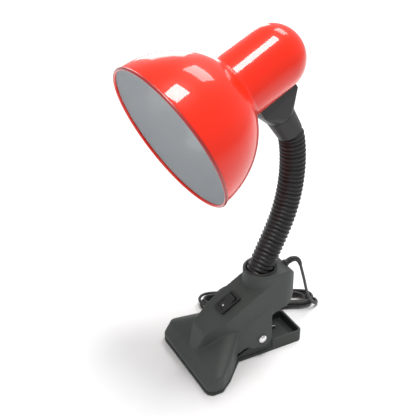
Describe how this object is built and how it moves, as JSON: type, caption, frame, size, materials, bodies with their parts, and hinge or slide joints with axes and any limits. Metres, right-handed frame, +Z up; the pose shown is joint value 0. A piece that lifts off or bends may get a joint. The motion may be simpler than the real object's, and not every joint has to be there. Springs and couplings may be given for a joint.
{
  "type": "clip-on reading lamp",
  "caption": "Clip-on reading lamp: matt dark grey sprung clip with a rocker switch, black corrugated gooseneck and a glossy orange-red bell shade on an E27 lampholder",
  "frame": {"origin": "on the resting face, the flat underside of the lower jaw (Z = 0), directly below the clip's pivot axis and midway between its ears (X = 0)", "axes": "+X to the lamp's left-hand side as it faces forward, parallel to the pivot pin; +Y to the rear, away from the jaws' front edge; +Z up, square to the resting face"},
  "size_m": [0.1618, 0.2047, 0.3087],
  "materials": {
    "jaw_plastic": "fine matt texture",
    "jaw_dark": "fine matt texture",
    "pad_rubber": "matt rubber",
    "steel": "bright zinc plate",
    "chrome": "polished",
    "switch_plastic": "satin black",
    "brass": "bright",
    "flex_pvc": "semi-matt black PVC",
    "plug_plastic": "semi-gloss black",
    "neck_plastic": "satin black",
    "neck_steel": "plain wound steel",
    "shade_paint": "gloss orange-red outside, gloss white inside",
    "holder_plastic": "off-white moulding"
  },
  "bodies": {
    "clip_body": {"upper_jaw": "jaw_plastic", "wiring_cover": "jaw_plastic", "cover_screws": "steel", "upper_grip_pad": "pad_rubber", "neck_collar": "jaw_plastic", "neck_clamp_nut": "steel", "switch_body": "switch_plastic", "switch_terminals": "brass", "cord_gland": "flex_pvc", "cord_clamp": "plug_plastic", "clamp_screws": "steel", "pivot_pin": "chrome", "pin_cap": "chrome", "torsion_spring": "steel", "neck_link_00": "neck_plastic", "neck_core_00": "neck_steel", "power_cord": "flex_pvc", "cord_tail": "flex_pvc", "cord_hank": "flex_pvc", "cord_tie": "flex_pvc", "plug_body": "plug_plastic", "plug_pins": "brass"},
    "lower_body": {"lower_jaw": "jaw_dark", "lower_grip_pad": "pad_rubber"},
    "rocker_body": {"switch_rocker": "switch_plastic"},
    "neck_01": {"neck_link_01": "neck_plastic", "neck_core_01": "neck_steel"},
    "neck_02": {"neck_link_02": "neck_plastic", "neck_core_02": "neck_steel"},
    "neck_03": {"neck_link_03": "neck_plastic", "neck_core_03": "neck_steel"},
    "neck_04": {"neck_link_04": "neck_plastic", "neck_core_04": "neck_steel"},
    "neck_05": {"neck_link_05": "neck_plastic", "neck_core_05": "neck_steel"},
    "neck_06": {"neck_link_06": "neck_plastic", "neck_core_06": "neck_steel"},
    "neck_07": {"neck_link_07": "neck_plastic", "neck_core_07": "neck_steel"},
    "neck_08": {"neck_link_08": "neck_plastic", "neck_core_08": "neck_steel"},
    "neck_09": {"neck_link_09": "neck_plastic", "neck_core_09": "neck_steel"},
    "neck_10": {"neck_link_10": "neck_plastic", "neck_core_10": "neck_steel"},
    "neck_11": {"neck_link_11": "neck_plastic", "neck_core_11": "neck_steel"},
    "neck_12": {"neck_ferrule": "neck_plastic"},
    "head_body": {"head_saddle": "neck_plastic", "saddle_screws": "steel", "swivel_clip": "steel", "shade": "shade_paint", "holder_bracket": "steel", "holder_body": "holder_plastic", "holder_shell": "brass", "centre_contact": "brass", "holder_terminals": "brass", "holder_nut": "steel"}
  },
  "joints": [
    {"name": "jaw_open", "type": "hinge", "parent": "clip_body", "child": "lower_body", "pos_m": [0, 0, 0.0203], "axis": [1, 0, 0], "range_deg": [0, 28], "stiffness_Nm_per_rad": 0.6, "springref_deg": -60.16, "deforming": ["torsion_spring"]},
    {"name": "switch_rock", "type": "hinge", "parent": "clip_body", "child": "rocker_body", "pos_m": [0, -0.0253, 0.05695], "axis": [1, 0, 0], "range_deg": [-14, 0]},
    {"name": "neck_bend", "type": "hinge", "parent": "clip_body", "child": "neck_01", "pos_m": [0, 0.00856, 0.08634], "axis": [1, 0, 0], "range_deg": [-7.5, 7.5]},
    {"name": "neck_side", "type": "hinge", "parent": "neck_01", "child": "neck_02", "pos_m": [0, 0.01363, 0.09722], "axis": [0, 0.9081, -0.4187], "range_deg": [-7.5, 7.5]},
    {"name": "neck_bend_2", "type": "hinge", "parent": "neck_02", "child": "neck_03", "pos_m": [0, 0.01861, 0.10814], "axis": [1, 0, 0], "range_deg": [-7.5, 7.5]},
    {"name": "neck_side_2", "type": "hinge", "parent": "neck_03", "child": "neck_04", "pos_m": [0, 0.02349, 0.1191], "axis": [0, 0.9222, -0.3867], "range_deg": [-7.5, 7.5]},
    {"name": "neck_bend_3", "type": "hinge", "parent": "neck_04", "child": "neck_05", "pos_m": [0, 0.02789, 0.13027], "axis": [1, 0, 0], "range_deg": [-7.5, 7.5]},
    {"name": "neck_side_3", "type": "hinge", "parent": "neck_05", "child": "neck_06", "pos_m": [0, 0.03139, 0.14174], "axis": [0, 0.967, -0.2546], "range_deg": [-7.5, 7.5]},
    {"name": "neck_bend_4", "type": "hinge", "parent": "neck_06", "child": "neck_07", "pos_m": [0, 0.03399, 0.15346], "axis": [1, 0, 0], "range_deg": [-7.5, 7.5]},
    {"name": "neck_side_4", "type": "hinge", "parent": "neck_07", "child": "neck_08", "pos_m": [0, 0.03566, 0.16534], "axis": [0, 0.995, -0.1002], "range_deg": [-7.5, 7.5]},
    {"name": "neck_bend_5", "type": "hinge", "parent": "neck_08", "child": "neck_09", "pos_m": [0, 0.03639, 0.17732], "axis": [1, 0, 0], "range_deg": [-7.5, 7.5]},
    {"name": "neck_side_5", "type": "hinge", "parent": "neck_09", "child": "neck_10", "pos_m": [0, 0.03618, 0.18932], "axis": [0, 0.9984, 0.0567], "range_deg": [-7.5, 7.5]},
    {"name": "neck_bend_6", "type": "hinge", "parent": "neck_10", "child": "neck_11", "pos_m": [0, 0.03503, 0.20126], "axis": [1, 0, 0], "range_deg": [-7.5, 7.5]},
    {"name": "neck_side_6", "type": "hinge", "parent": "neck_11", "child": "neck_12", "pos_m": [0, 0.03233, 0.21295], "axis": [0, 0.9255, 0.3786], "range_deg": [-7.5, 7.5]},
    {"name": "head_swivel", "type": "hinge", "parent": "neck_12", "child": "head_body", "pos_m": [0, 0.03124, 0.21474], "axis": [0, -0.5225, 0.8526], "range_deg": [-60, 60]}
  ]
}
